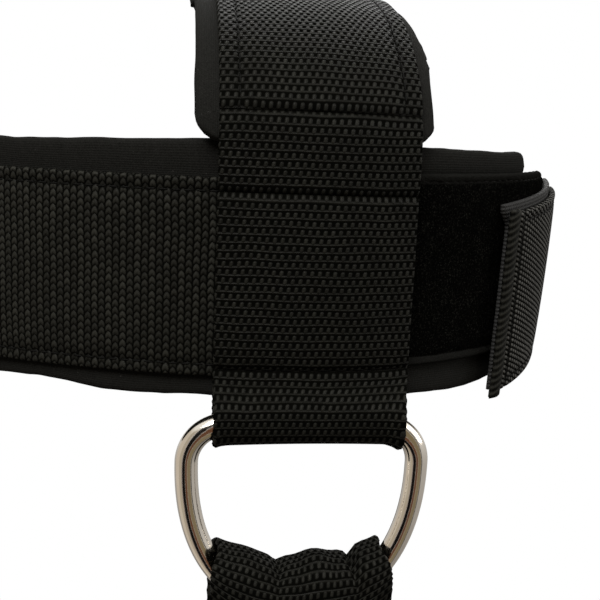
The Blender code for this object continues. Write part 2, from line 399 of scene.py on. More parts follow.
class Strip:
    """A strip of cloth: its points across and along, and how far across and along each lies."""

    def __init__(self, across, points):
        self.across = np.array(across)
        self.points = np.array(points, dtype=float)
        self.along = run_of(self.middle())
        self.us, self.vs = np.meshgrid(self.across, self.along, indexing="ij")
        self.pressed = np.zeros_like(self.us)

    def middle(self):
        return self.points[len(self.across) // 2]

    def normals(self):
        across = np.gradient(self.points, axis=0)
        along = np.gradient(self.points, axis=1)
        outward = np.cross(across, along)
        return outward / np.linalg.norm(outward, axis=-1, keepdims=True)

    def push(self, amounts):
        """Moves the strip's points out by amounts, in by negative ones."""
        self.points = self.points + self.normals() * amounts[..., None]

    def sink(self, press, depth):
        self.pressed += press
        self.push(-depth * press)

    def sink_across(self, v, depth, width=0.0011):
        self.sink(bell(self.vs - v, width), depth)

    def sink_along(self, rows, depth, start=-1.0, stop=10.0):
        begun = ramp(self.vs, start, start + row_run_in)
        inside = begun * ramp(self.vs, stop, stop - row_run_in)
        for row in rows:
            self.sink(inside * bell(self.us - row, 0.0009), depth)

    def scallop(self, pitch, size):
        """The knuckles of the weave along both selvedges."""
        side = self.points[-1] - self.points[0]
        side /= np.linalg.norm(side, axis=-1, keepdims=True)
        wave = np.sin(self.along * 2 * math.pi / pitch) * size
        self.points[0] -= side * wave[:, None]
        self.points[-1] += side * wave[:, None]

    def at(self, u, v):
        """The point at u across and v along, with the way out there."""
        i = min(max(np.searchsorted(self.across, u) - 1, 0), len(self.across) - 2)
        j = min(max(np.searchsorted(self.along, v) - 1, 0), len(self.along) - 2)
        s = (u - self.across[i]) / (self.across[i + 1] - self.across[i])
        t = (v - self.along[j]) / (self.along[j + 1] - self.along[j])
        p = self.points
        near = p[i, j] * (1 - s) + p[i + 1, j] * s
        far = p[i, j + 1] * (1 - s) + p[i + 1, j + 1] * s
        across = (p[i + 1, j] - p[i, j]) / (self.across[i + 1] - self.across[i])
        outward = np.cross(across, far - near)
        return Vector(near * (1 - t) + far * t), Vector(outward).normalized()


def grid_through(points, us, vs, pressed=None):
    """A grid of faces through points, with its weave map, and the point that each vertex is on."""
    across = len(points) - 1
    along = len(points[0]) - 1
    grid = bmesh.new()
    bmesh.ops.create_grid(grid, x_segments=across, y_segments=along, size=0.5)
    maps = [(grid.loops.layers.uv.new("weave"), us, vs)]
    if pressed is not None:
        maps.append((grid.loops.layers.uv.new("pressed"), pressed, 0 * pressed))
    places = {}
    for vert in grid.verts:
        places[vert] = (round((vert.co.x + 0.5) * across), round((vert.co.y + 0.5) * along))
        vert.co = points[places[vert]]
    for face in grid.faces:
        for loop in face.loops:
            place = places[loop.vert]
            for layer, first, second in maps:
                loop[layer].uv = (first[place], second[place])
    return grid, list(places.values())


def sheet(name, strip, thickness, finishes, edge, thinning=0.0):
    """Cloth of a thickness about a strip, with rounded edges and its edge's own finish."""
    from_side = np.minimum(strip.us, strip.across[-1] - strip.us)
    from_end = np.minimum(strip.vs, strip.along[-1] - strip.vs)
    short = ramp(np.minimum(from_side, from_end), edge, 0.0)
    fullness = 1 - 2 * edge / thickness * (1 - np.sqrt(1 - short ** 2)) - thinning
    cloth, order = grid_through(strip.points, strip.us, strip.vs, strip.pressed)
    piece = put_down(name, cloth, finishes)
    wall = piece.modifiers.new("thickness", "SOLIDIFY")
    wall.thickness = thickness
    wall.offset = 0.0
    wall.material_offset_rim = len(finishes) - 1
    group = piece.vertex_groups.new(name="fullness")
    for index, place in enumerate(order):
        group.add([index], float(fullness[place]), "REPLACE")
    wall.vertex_group = "fullness"
    return piece


def sewing_thread():
    finish = new_finish("sewing_thread")
    twist = finish.noise(2600.0, 2.0)
    colour = finish.mix(twist, (0.0010, 0.0010, 0.0009), (0.0045, 0.0045, 0.0040))
    return finish.matt(colour, roughness=0.6, sheen=0.04, height=twist, relief=0.0001)


class Stitching:
    """Rows of lockstitch in one piece: each stitch a short plump length of thread."""

    def __init__(self):
        self.thread = bmesh.new()
        ball = bmesh.new()
        bmesh.ops.create_uvsphere(ball, u_segments=6, v_segments=5, radius=1.0)
        self.plump = bpy.data.meshes.new("stitch")
        ball.to_mesh(self.plump)
        ball.free()

    def row(self, strip, start, stop, pitch=0.0032, lift=0.0010, radius=thread_radius):
        start, stop = np.array(start), np.array(stop)
        count = max(int(round(np.linalg.norm(stop - start) / pitch)), 1)
        for index in range(count):
            first = start + (stop - start) * index / count
            last = start + (stop - start) * (index + 1) / count
            one = strip.at(*first)[0]
            two, outward = strip.at(*last)
            along = (two - one).normalized()
            side = outward.cross(along).normalized()
            out = along.cross(side)
            long = (two - one).length * stitch_fill / 2
            turn = Matrix((side * radius, out * radius * 1.1, along * long)).transposed().to_4x4()
            place = Matrix.Translation((one + two) / 2 + out * lift)
            stitch = self.plump.copy()
            stitch.transform(place @ turn)
            self.thread.from_mesh(stitch)
            bpy.data.meshes.remove(stitch)

    def rows(self, strip, rows, start, stop, **thread):
        """A row at each distance across in rows, from start to stop along."""
        for row in rows:
            self.row(strip, (row, start), (row, stop), **thread)

    def finish(self, name, body):
        bpy.data.meshes.remove(self.plump)
        piece = put_down(name, self.thread, [black_thread])
        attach(piece, body)
        return piece


def knit_neoprene():
    """Jersey with fine ribs along the strip, mottled, with a little grey lint."""
    finish = new_finish("neoprene_knit")
    across, along = finish.weave_map()
    ribs = across.ribs(0.00055)
    loops = along.ribs(0.0007)
    mottle = finish.noise(420.0, 3.0)
    fuzz = finish.noise(2300.0, 3.0, 0.75)
    lint = ((finish.noise(1500.0, 1.0) - 0.74) * 9.0).clamp()
    shade = (ribs * 0.12 + loops * 0.06 + mottle * 0.25 + (fuzz - 0.5) * 1.6 + 0.30).clamp()
    base = finish.mix(shade, (0.0034, 0.0034, 0.0031), (0.0132, 0.0132, 0.0122))
    colour = finish.mix(lint * 0.5, base, (0.06, 0.06, 0.058))
    height = ribs * 0.30 + loops * 0.14 + mottle * 0.5 + fuzz * 0.9
    return finish.matt(colour, roughness=0.9, sheen=0.03, height=height, relief=0.00012)


def cut_foam():
    """The cut edge: bare closed cells between the two facings."""
    finish = new_finish("foam_cut_edge")
    cells = finish.noise(2200.0, 2.0)
    shade = cells * 0.6 + finish.noise(160.0, 2.0) * 0.4
    colour = finish.mix(shade, (0.0025, 0.0025, 0.0022), (0.012, 0.012, 0.011))
    return finish.matt(colour, roughness=0.95, sheen=0.03, height=cells, relief=0.0003)


def corner_cut(from_edge, radius):
    """How far a rounded corner holds the end back, at distances in from the side edge."""
    inside = np.maximum(radius - from_edge, 0.0)
    return radius - np.sqrt(radius ** 2 - inside ** 2)


neoprene = knit_neoprene()
foam_edge = cut_foam()
black_thread = sewing_thread()


def rim_puff(us, width, place):
    """Where the foam swells outside a pad's rows of stitches."""
    return bell(us - place, rim_puff_width) + bell(width - us - place, rim_puff_width)


def grooves(pull):
    """Share of a pad's thickness that its rows of stitches take."""
    return np.clip(pull * groove_depth, 0, groove_deepest)


def rows_from_top(middle, margin):
    """How far below the band's top the two rows of stitches in a strip lie."""
    return [band_top - middle + way * (half_webbing - margin) for way in (-1, 1)]


height = band_top - band_bottom
rim = (height - webbing_width) / 2
webbing_rows = rows_from_top(webbing_middle, edge_row)
loop_rows = rows_from_top(loop_middle, loop_edge_row)
across = places_across(height, webbing_rows + loop_rows)
start, stop = pad_far_end, perimeter + pad_near_end
fractions = shares(0.0, 1.0, 0.0009 / (stop - start))
us = across[:, None]
cut = corner_cut(np.minimum(us, height - us), pad_corner)
lengths = start + cut + fractions[None, :] * (stop - start - 2 * cut)
top_edge = wander(lengths[0], 0.0005, 0.030, 1.0) + wander(lengths[0], 0.00008, 0.005, 2.0)
low_edge = wander(lengths[-1], 0.0008, 0.024, 3.0) + wander(lengths[-1], 0.00010, 0.005, 4.0)
from_seam = lengths[0] - perimeter
# In front of the left crown seam the shears ran wide at the top and narrow at the bottom.
cut_by_eye = ramp(from_seam, -0.140, -0.100) * ramp(from_seam, 0.0, -0.020)
top_edge += cut_by_eye * (0.0010 - 0.0014 * ramp(from_seam, -0.055, -0.080))
low_edge -= cut_by_eye * (0.0006 + 0.0012 * ramp(from_seam, -0.040, -0.070))
near_top = ramp(us, rim, 0.0)
near_low = ramp(height - us, rim, 0.0)
heights = band_top - us + near_top * top_edge[None, :] - near_low * low_edge[None, :]
strip = Strip(across, round_band(lengths, -pad_thick / 2, heights))
seam = perimeter - start
puff = rim_puff(us, height, rim * 0.45)
strip.push(puff * (0.0004 + wander(strip.along, 0.0002, 0.012, 5.0))[None, :])
pull = np.zeros_like(strip.us)
for row, loop_row in zip(webbing_rows, loop_rows):
    pull += bell(strip.us - np.where(strip.vs < seam, row, loop_row), groove_width)
finishes = [neoprene, foam_edge]
piece = sheet("band_pad_cloth", strip, pad_thick, finishes, 0.0013, grooves(pull))
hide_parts("band_pad")
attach(piece, "harness")
bobbin = Stitching()
for row, loop_row in zip(webbing_rows, loop_rows):
    bobbin.row(strip, (row, tab_root - start), (row, seam), lift=inner_face)
    bobbin.row(strip, (loop_row, seam), (loop_row, strip.along[-1] - 0.004), lift=inner_face)
bobbin.finish("band_pad_bobbin_stitches", "harness")


# Band webbing
# Close-woven nylon webbing sewn to the pad's outer face. It runs from under the crown strap on the
# left, round the forehead, to the root of the closing tab, and its weave lies along the band.
webbing_out = seam_gap + webbing_thick / 2
seam_butt = seam_gap / 2
weave_row = 0.00206
band_weave_row = 0.00188
weft_place = 0.37
weft_reach = 0.25


def woven_nylon(name, knuckle, row, dark, light, lean, wide, tall, weft, tightness,
                arrow=0.0, even=0.0):
    """Woven webbing: rows of plump warp knuckles, half a place over in every other row, with the
    weft as a line under each row and holes between. Its colour is painted lighter on the knuckles
    and darker in the gaps, as painted highlight and painted shade, and the holes hold a painted
    shadow. An arrow weave's knuckles are pointed."""
    finish = new_finish(name)
    across, along = finish.weave_map()
    ripple = finish.noise(90.0, 1.0) * 0.35
    place = along / row + ripple
    step = place.math("FLOOR")
    t = place - step - 0.5
    slide = across / knuckle + step * 0.5 + t * lean - abs(t) * arrow
    which = slide.math("FLOOR")
    s = slide - which - 0.5
    address = finish.add("ShaderNodeCombineXYZ", sockets=[which, step, 0.0])
    own = finish.add("ShaderNodeTexWhiteNoise", {"noise_dimensions": "2D"}, {"Vector": address})
    fibres = finish.noise(5200.0, 1.0)
    rise = t * t / tall ** 2
    odd = (step * 0.5).math("FRACT")
    plump = (1.0 - s * s / wide ** 2 - rise * rise).clamp()
    under = (1.0 - abs(t + weft_place) / weft_reach).clamp() * weft
    raised = plump.math("MAXIMUM", under)
    height = raised * (1.0 - even) + (raised * 8.0).clamp() * even
    wash = finish.noise(38.0, 2.0)
    # Random washes of tone, every other row of an arrow weave lighter, and painted shade where
    # stitches draw the webbing in.
    tone_and_stitch_shade = (0.65 + wash * 0.6) * (1.0 - finish.pressed() * 0.6) * (1.0 + odd * arrow)
    # Painted highlight and painted shade: the colour is lighter on the raised knuckles and darker
    # down in the gaps between them.
    knuckle_highlight_and_gap_shade = (height * (0.55 + own * 0.45) * (0.6 + fibres * 0.5) * tone_and_stitch_shade).clamp()
    colour = finish.mix(knuckle_highlight_and_gap_shade, dark, light)
    bump = finish.bump(height + fibres * 0.15, 0.0004)
    yarn = finish.surface(Base_Color=colour, Roughness=0.60 - height * 0.12,
                          Specular_IOR_Level=0.05, Normal=bump)
    # Painted shadow: a near-black shader with no reflection, mixed in wherever the weave leaves a
    # gap.
    painted_gap_shadow = finish.surface(Base_Color=(0.0016, 0.0016, 0.0013, 1.0), Roughness=0.95,
                          Specular_IOR_Level=0.0)
    solid = (raised * tightness).clamp()
    return finish.done(finish.add("ShaderNodeMixShader", sockets=[solid, painted_gap_shadow, yarn]))


band_nylon = woven_nylon(
    "band_nylon", band_weave_row, band_weave_row, (0.0016, 0.0016, 0.0013), (0.0188, 0.0188, 0.0158),
    lean=0.0, wide=0.55, tall=0.51, weft=0.0, tightness=1.7, arrow=0.75, even=0.06)


rows = [edge_row, webbing_width - edge_row]
across = places_across(webbing_width, rows)
lengths = shares(tab_root, perimeter - seam_butt, 0.0006)
heights = webbing_middle + half_webbing - across[:, None]
strip = Strip(across, round_band(lengths[None, :], webbing_out, heights))
strip.sink_along(rows, 0.0004)
strip.push(wander(strip.along, 0.00015, 0.030, 7.0)[None, :])
strip.scallop(weave_row, 0.00013)
piece = sheet("band_webbing_cloth", strip, webbing_thick, [band_nylon], 0.0006)
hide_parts("band_webbing")
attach(piece, "harness")
rows_sewn = Stitching()
rows_sewn.rows(strip, rows, 0.002, strip.along[-1] - 0.002)
rows_sewn.finish("band_webbing_stitches", "harness")


# Loop strip
# The soft half of the closure: brushed nylon loops on a woven tape, sewn to the pad all round from
# the crown strap to the band's near end.
loop_near_end = 0.097
loop_corner_long = 0.012
loop_corner_tall = 0.0032
loop_selvedge = 0.0030
pile_clump = 0.0022


def brushed_loops():
    """Tangled pile with fine bright specks, and a bare woven selvedge along both sides."""
    finish = new_finish("loop_pile")
    across = finish.weave_map()[0]
    past_pile = abs(across - half_webbing) - half_webbing + loop_selvedge
    bare = (past_pile * 1200.0).clamp()
    tangle = finish.noise(1500.0, 4.0, 0.7)
    clumps = finish.noise(260.0, 2.0)
    specks = ((finish.noise(2000.0, 2.0, 0.7) - 0.53) * 6.0).clamp()
    shade = (tangle * 0.6 + clumps * 0.4).clamp()
    base = finish.mix(shade, (0.0001, 0.0001, 0.0001), (0.0020, 0.0020, 0.0018))
    pile = finish.mix(specks * clumps, base, (0.016, 0.016, 0.014))
    colour = finish.mix(bare * (0.5 + tangle * 0.5), pile, (0.0090, 0.0090, 0.0084))
    height = tangle * 0.7 + clumps * 0.5
    return finish.matt(colour, roughness=1.0, sheen=0.0, height=height, relief=0.0005)


loop_pile = brushed_loops()


rows = [loop_edge_row, webbing_width - loop_edge_row]
across = places_across(webbing_width, rows)
cut = loop_corner_long * ramp(across[:, None], loop_corner_tall, 0.0)
lengths = seam_butt + shares(0.0, 1.0, 0.009)[None, :] * (loop_near_end - cut - seam_butt)
heights = loop_middle + half_webbing - across[:, None]
strip = Strip(across, round_band(lengths, webbing_out, heights))
strip.sink_along(rows, 0.0005)
tufts = [[noise.noise(Vector((u, v, 3.0)) / pile_clump) for v in strip.along] for u in across]
strip.push(np.array(tufts) * 0.00016)
piece = sheet("loop_strip_pile", strip, webbing_thick, [loop_pile], 0.0006)
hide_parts("loop_strip")
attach(piece, "harness")
sewn = Stitching()
end = strip.along[-1] - 0.0025
sewn.rows(strip, rows, 0.002, end, lift=0.0008, radius=0.0002)
sewn.row(strip, (rows[0] + 0.001, end), (rows[1], end), lift=0.0008, radius=0.0002)
sewn.finish("loop_strip_stitches", "harness")


# Closing tab
# Webbing of a finer, harder weave with hook tape sewn inside it. Its free end is bound by a folded
# strip of ribbed tape, a slit away from the webbing, and the hook tape's grey edge shows above.
hook_out = webbing_out + webbing_thick / 2 + seam_gap + hook_thick / 2
tab_out = hook_out + hook_thick / 2 + seam_gap + webbing_thick / 2
tab_free_end = 0.055
tab_end_skew = 0.0025
tab_droop = 0.0085
hook_root_margin = 0.028
hook_height = 0.053
hook_above_tab = 0.0025
tab_flat_root = 0.002
hook_stands_out = 0.001
tab_edge_row = 0.0026
tab_weave_row = 0.0016
tab_bend = 0.024
hook_end_in = 0.0024
hook_corner = 0.0045
hem_width = 0.0036
hem_slit = 0.0014
hem_overhang = 0.0011
hem_row = 0.0024

tab_nylon = woven_nylon(
    "tab_nylon", 0.0014, tab_weave_row, (0.0040, 0.0040, 0.0035), (0.082, 0.081, 0.074),
    lean=-0.35, wide=0.42, tall=0.44, weft=0.10, tightness=2.0)


def ribbed_tape():
    """Twill tape: plump ribs that lean a little, close together up the hem."""
    finish = new_finish("hem_tape")
    across, along = finish.weave_map()
    ribs = (across + along * 0.7).ribs(0.0019)
    threads = along.ribs(0.0005)
    worn = finish.noise(500.0, 2.0)
    shade = (ribs * 0.65 + threads * 0.1 + worn * 0.4 - 0.2).clamp()
    colour = finish.mix(shade, (0.0014, 0.0014, 0.0011), (0.0220, 0.0218, 0.0185))
    height = ribs + threads * 0.2
    return finish.matt(colour, roughness=0.7, sheen=0.04, height=height, relief=0.00030)


hem_tape = ribbed_tape()


def moulded_hooks():
    """Hook tape: a grey-black woven tape set with rows of tiny hooks."""
    finish = new_finish("hook_tape")
    across, along = finish.weave_map()
    hooks = along.ribs(0.0009) * across.ribs(0.0011)
    worn = finish.noise(700.0, 3.0)
    shade = (hooks * 0.5 + worn * 0.5).clamp()
    colour = finish.mix(shade, (0.010, 0.010, 0.010), (0.030, 0.030, 0.030))
    height = hooks + worn * 0.4
    return finish.matt(colour, roughness=0.65, sheen=0.10, height=height, relief=0.0003)


hook_tape = moulded_hooks()


def tab_level(lengths):
    """How far out the tab's middle lies: over the hook tape, then down to the band webbing."""
    start = tab_root - hook_root_margin + tab_flat_root
    share = ramp(lengths, start, tab_root - tab_flat_root)
    return tab_out + (webbing_out - tab_out) * share * share * (3 - 2 * share)


def tab_middle(lengths):
    """Height of the tab's middle line, which droops evenly from its root to its free end."""
    return webbing_middle - tab_droop * (tab_root - lengths) / (tab_root - tab_free_end)


# The webbing bends over the hook tape's end, so it blends from the band to the closure.
rows = [tab_edge_row, webbing_width - tab_edge_row]
across = places_across(webbing_width, rows)
us = across[:, None]
lean = tab_end_skew * (half_webbing - us) / webbing_width
fractions = shares(0.0, 1.0, 0.0006 / (tab_root - tab_free_end))
start = tab_free_end + hem_width + hem_slit + lean
lengths = start + fractions[None, :] * (tab_root - seam_gap - start)
heights = tab_middle(lengths) + half_webbing - us
strip = Strip(across, round_band(lengths, tab_level(lengths), heights))
strip.sink_along(rows, 0.0004, start=hem_row)
strip.sink_across(hem_row, 0.0003, 0.0006)
strip.scallop(tab_weave_row, 0.00008)
piece = sheet("tab_webbing_cloth", strip, webbing_thick, [tab_nylon], 0.0006)
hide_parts("tab_webbing")
root = Vector(round_band(tab_root, webbing_out, webbing_middle))
bent = Vector(round_band(tab_root - tab_bend, tab_out, webbing_middle))
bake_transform(piece)
sewn = Stitching()
last = tab_root - hook_root_margin - tab_free_end - hem_width - hem_slit
sewn.rows(strip, rows, hem_row, last)
sewn.row(strip, (rows[0], hem_row + 0.0002), (rows[1], hem_row + 0.0002))
sewn.row(strip, (rows[0], last), (rows[1], last))
sewn.finish("tab_stitches", "closure_tab")


# The ribbed tape that binds the free end.
height = webbing_width + 2 * hem_overhang
across = places_across(height, [])
us = across[:, None]
lean = tab_end_skew * (height / 2 - us) / webbing_width
lengths = tab_free_end + lean + shares(0.0, hem_width, 0.0003)[None, :]
bend = wander(across, 0.00015, 0.012, 9.0)[:, None]
heights = tab_middle(lengths) + height / 2 - us
strip = Strip(across, round_band(lengths + bend, tab_out, heights))
bulge = np.sin(math.pi * ramp(strip.vs, 0.0, hem_width))
strip.push(0.0005 + bulge * 0.0004 + wander(across, 0.00012, 0.009, 10.0)[:, None])
piece = sheet("tab_hem", strip, webbing_thick + 0.0006, [hem_tape], 0.0011)
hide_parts("tab_webbing")
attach(piece, "closure_tab")


# The hook tape inside, its top corner standing out past the hem.
across = places_across(hook_height, [])
rise = half_webbing + hook_above_tab - across[:, None]
fractions = shares(0.0, 1.0, 0.01)
corner = np.exp(-((across[:, None] / hook_corner) ** 4))
start = tab_free_end + hook_end_in - (hook_stands_out + hook_end_in) * corner
start += tab_end_skew * rise / webbing_width
lengths = start + fractions[None, :] * (tab_root - hook_root_margin - start)
strip = Strip(across, round_band(lengths, hook_out, tab_middle(lengths) + rise))
piece = sheet("tab_hook_tape", strip, hook_thick, [hook_tape], 0.0004)
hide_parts("tab_hook_strip")
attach(piece, "closure_tab")


# Crown pad
# The same neoprene as the band, cut with round corners and sewn under the crown strap, which it
# stands proud of on both sides.
strap_out = webbing_out + 2 * (webbing_thick + seam_gap)
crown_pad_out = strap_out - webbing_thick / 2 - seam_gap - pad_thick / 2
crown_height = pad_thick + seam_gap + webbing_thick / 2 - band_top
crown_fall = 0.7
crown_pad_width = 0.0595
crown_pad_corner = 0.0075
crown_pad_x = -0.0012
crown_pad_clear = 0.0005
crown_row = 0.0048


def band_share(xs):
    """Share of the band's half width at xs."""
    reach = np.where(xs > 0, band_to_back, band_to_front)
    return (1 - np.abs(xs / reach) ** band_roundness) ** (1 / band_roundness)


def crown_points(xs, angles, inward):
    """Points on the crown strap's middle surface, or a distance inward from it."""
    share = band_share(xs)
    half = band_half_width * share + strap_out
    rise = crown_height * share ** crown_fall
    ys = -half * np.cos(angles)
    zs = band_top + rise * np.sin(angles)
    ny = -rise * np.cos(angles)
    nz = half * np.sin(angles)
    size = np.hypot(ny, nz)
    return station(xs, ys - ny / size * inward, zs - nz / size * inward)


rim = (crown_pad_width - webbing_width) / 2
rows = [rim + crown_row, crown_pad_width - rim - crown_row]
across = places_across(crown_pad_width, rows)
us = across[:, None]
xs = us - crown_pad_width / 2
cut = corner_cut(np.minimum(us, crown_pad_width - us), crown_pad_corner)
rise = crown_height * band_share(xs) ** crown_fall
start = np.arcsin((crown_pad_clear + cut) / rise)
angles = start + shares(0.0, 1.0, 0.005)[None, :] * (math.pi - 2 * start)
inward = strap_out - crown_pad_out
points = crown_points(xs, angles, inward) + np.array([crown_pad_x, 0.0, 0.0])
for column, seed in ((0, 11.0), (-1, 12.0)):
    edge = points[column]
    run = run_of(edge)
    edge[:, 0] += wander(run, 0.0004, 0.024, seed) + wander(run, 0.00006, 0.005, seed + 5)
strip = Strip(across, points)
strip.push(rim_puff(us, crown_pad_width, rim * 0.4) * 0.0005)
pull = sum(bell(strip.us - row, groove_width) for row in rows)
finishes = [neoprene, foam_edge]
piece = sheet("crown_pad_cloth", strip, pad_thick, finishes, 0.0013, grooves(pull))
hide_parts("crown_pad")
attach(piece, "harness")
bobbin = Stitching()
bobbin.rows(strip, rows, 0.006, strip.along[-1] - 0.006, lift=inner_face)
bobbin.finish("crown_pad_bobbin_stitches", "harness")


# Crown strap
# One length of heavy webbing: up from the tail on the left, round the ring's bar, over the crown and
# down the other side the same way. Rows of stitches hold its plies, the pad and the band together.
wire_radius = 0.003
ring_half_width = 0.0302
ring_corner = 0.0101
ring_x = -0.0016
bar_height = band_bottom - 0.0055
bar_out = strap_out - (webbing_thick + seam_gap) / 2
bar_side = band_half_width + bar_out
tail_out = strap_out - webbing_thick - seam_gap
wrap_clear = 0.0006
strap_tail_drop = 0.010
fold_rise_in = 0.001
fold_rise_out = 0.0045
fold_width = 0.0488
seam_pitch = 0.0034
bottom_seam_pitch = 0.0045
seam_margin = 0.0022
bottom_seam_rise = 0.0026
top_seam_drop = 0.011
pad_seam_rise = 0.0085

strap_nylon = woven_nylon(
    "strap_nylon", 0.0019, weave_row, (0.0014, 0.0014, 0.0011), (0.0165, 0.0165, 0.0136),
    lean=-0.16, wide=0.33, tall=0.42, weft=0.74, tightness=1.8)


def bar_reach(xs):
    """How far the wire reaches down from its straight bar's middle, where its corners fall."""
    past = np.maximum(np.abs(xs) - (ring_half_width - ring_corner), 0.0)
    inner = ring_corner - wire_radius
    fall = ring_corner - wire_radius - np.sqrt(np.maximum(inner ** 2 - past ** 2, 0.0))
    return wire_radius + fall * 0.85


def fold_round_bar(xs, bar_x, side, bar_z, sign, start_rise, stop_rise):
    """Half turn of webbing under a straight bar, as stations."""
    radius = bar_reach(xs - bar_x) + wrap_clear + webbing_thick / 2
    stations = [station(xs, side + sign * radius, bar_z + start_rise)]
    for angle in np.linspace(0.0, math.pi, 13):
        out = sign * radius * math.cos(angle)
        stations.append(station(xs, side + out, bar_z - radius * math.sin(angle)))
    stations.append(station(xs, side - sign * radius, bar_z + stop_rise))
    return stations


def refine(points, spacing):
    """A smooth run through coarse points along each column, evenly spaced on the middle one."""
    knots = run_of(points[len(points) // 2])
    slopes = np.gradient(points, knots, axis=1)
    places = shares(0.0, knots[-1], spacing)
    i = np.clip(np.searchsorted(knots, places, side="right") - 1, 0, len(knots) - 2)
    span = (knots[i + 1] - knots[i])[None, :, None]
    t = ((places - knots[i]) / (knots[i + 1] - knots[i]))[None, :, None]
    first = (1 + 2 * t) * (1 - t) ** 2 * points[:, i] + t * (1 - t) ** 2 * span * slopes[:, i]
    second = t * t * (3 - 2 * t) * points[:, i + 1] + t * t * (t - 1) * span * slopes[:, i + 1]
    return first + second


def crown_strap_strip():
    rows = [crown_row, webbing_width - crown_row]
    across = places_across(webbing_width, rows)
    xs = across - half_webbing
    face = -band_half_width * band_share(xs)
    seam = webbing_middle - half_webbing - 0.001
    tail = np.linspace(band_top - strap_tail_drop, seam, 5)
    outer = np.linspace(seam, band_top, 7)[:-1]
    fold_xs = xs * fold_width / webbing_width + ring_x * 0.5
    stations = [station(xs, face - tail_out, z) for z in tail]
    stations += fold_round_bar(
        fold_xs, ring_x, -bar_side, bar_height, 1.0, fold_rise_in, fold_rise_out)
    stations += [station(xs, face - strap_out, z) for z in outer]
    arc = crown_points(xs[:, None], np.linspace(0.0, math.pi / 2, 15)[None, :], 0.0)
    half = np.concatenate([np.stack(stations, axis=1), arc], axis=1)
    other = half[:, -2::-1] * np.array([1.0, -1.0, 1.0])
    return Strip(across, refine(np.concatenate([half, other], axis=1), 0.00056)), rows


def passes(strip, height, first, last):
    """How far along the strip it passes a height, between its points first and last."""
    return strip.along[first + int(np.argmin(np.abs(strip.middle()[first:last, 2] - height)))]


def level_on(strip, height, near_end):
    """How far along the strip its outer ply passes a height, on the left or the right side."""
    half = len(strip.along) // 2
    v = passes(strip, height, int(np.argmin(strip.middle()[:half, 2])), half)
    return v if near_end else strip.along[-1] - v


strip, rows = crown_strap_strip()
levels = {
    "bottom": webbing_middle - half_webbing + bottom_seam_rise,
    "top": band_top - top_seam_drop,
    "pad": band_top + pad_seam_rise,
}
heights = [(name, height, end) for end in (True, False) for name, height in levels.items()]
seams = [(name, level_on(strip, height, end)) for name, height, end in heights]
for name, v in seams:
    strip.sink_across(v, 0.0007 if name == "bottom" else 0.0010, 0.0010)
pad_rows = sorted(v for name, v in seams if name == "pad")
strip.sink_along(rows, 0.0005, pad_rows[0], pad_rows[1])
from_middle = 2 * strip.us / webbing_width - 1
swell = wander(strip.along, 0.0003, 0.028, 21.0)[None, :] * (1 - from_middle ** 2)
strip.push(swell + wander(strip.along, 0.0002, 0.017, 22.0)[None, :] * from_middle)
strip.scallop(weave_row, 0.00016)
piece = sheet("crown_strap_cloth", strip, webbing_thick, [strap_nylon], 0.0006)
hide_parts("crown_strap")
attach(piece, "harness")
sewn = Stitching()
for name, v in seams:
    pitch = bottom_seam_pitch if name == "bottom" else seam_pitch
    sewn.row(strip, (seam_margin, v), (webbing_width - seam_margin, v), pitch)
sewn.rows(strip, rows, pad_rows[0], pad_rows[1], pitch=seam_pitch)
sewn.finish("crown_strap_stitches", "harness")


# Side and load rings
# Six-millimetre steel wire bent to a D, its ends butt-welded in the straight bar, tumbled and
# nickel-plated. The bar lies in a fold of webbing, and the next strap hangs in the bow.
ring_shoulder = 0.010
ring_drop = 0.0502
ring_bow_roundness = 2.25
load_strap_length = 0.0948
weld_swell = 0.05
weld_reach = 0.002
bow_height = bar_height - ring_drop
load_bar_height = bow_height - load_strap_length


def nickel_plate():
    finish = new_finish("nickel_plate")
    clouds = finish.noise(120.0, 3.0)
    place = finish.add("ShaderNodeTexCoord", out="Object")
    sockets = {"Vector": place, "Scale": (900.0, 900.0, 60.0)}
    lines = finish.noise(1.0, 2.0, place=finish.add("ShaderNodeMapping", sockets=sockets))
    pits = ((finish.noise(1400.0, 1.0) - 0.74) * 6.0).clamp()
    base = finish.mix(clouds, (0.72, 0.66, 0.58), (0.86, 0.81, 0.74))
    colour = finish.mix(pits * 0.4, base, (0.30, 0.25, 0.20))
    rough = (0.07 + clouds * 0.05 + lines * 0.05 + pits * 0.2).clamp()
    shader = finish.surface(Base_Color=colour, Metallic=1.0, Roughness=rough,
                            Normal=finish.bump(lines * 0.4 + clouds * 0.6, 0.00004))
    return finish.done(shader)


nickel = nickel_plate()


def ring_path(spacing=0.0007):
    """The middle of the wire, x and z from the bar's middle, evenly spaced once round."""
    flat = ring_half_width - ring_corner
    turn = np.linspace(0.0, math.pi / 2, 60)
    bar = np.stack([np.linspace(0.0, flat, 30), np.zeros(30)], axis=1)
    corner = np.stack([flat + ring_corner * np.sin(turn), ring_corner * (np.cos(turn) - 1)], axis=1)
    power = 2 / ring_bow_roundness
    bow_x = ring_half_width * np.abs(np.cos(turn)) ** power
    bow_z = -ring_shoulder - (ring_drop - ring_shoulder) * np.sin(turn) ** power
    half = np.concatenate([bar, corner[1:], np.stack([bow_x, bow_z], axis=1)])
    loop = np.concatenate([half, half[-2::-1] * np.array([-1.0, 1.0])])
    lengths = run_of(loop)
    places = shares(0.0, lengths[-1], spacing)
    return np.stack([np.interp(places, lengths, loop[:, k]) for k in (0, 1)], axis=1), places


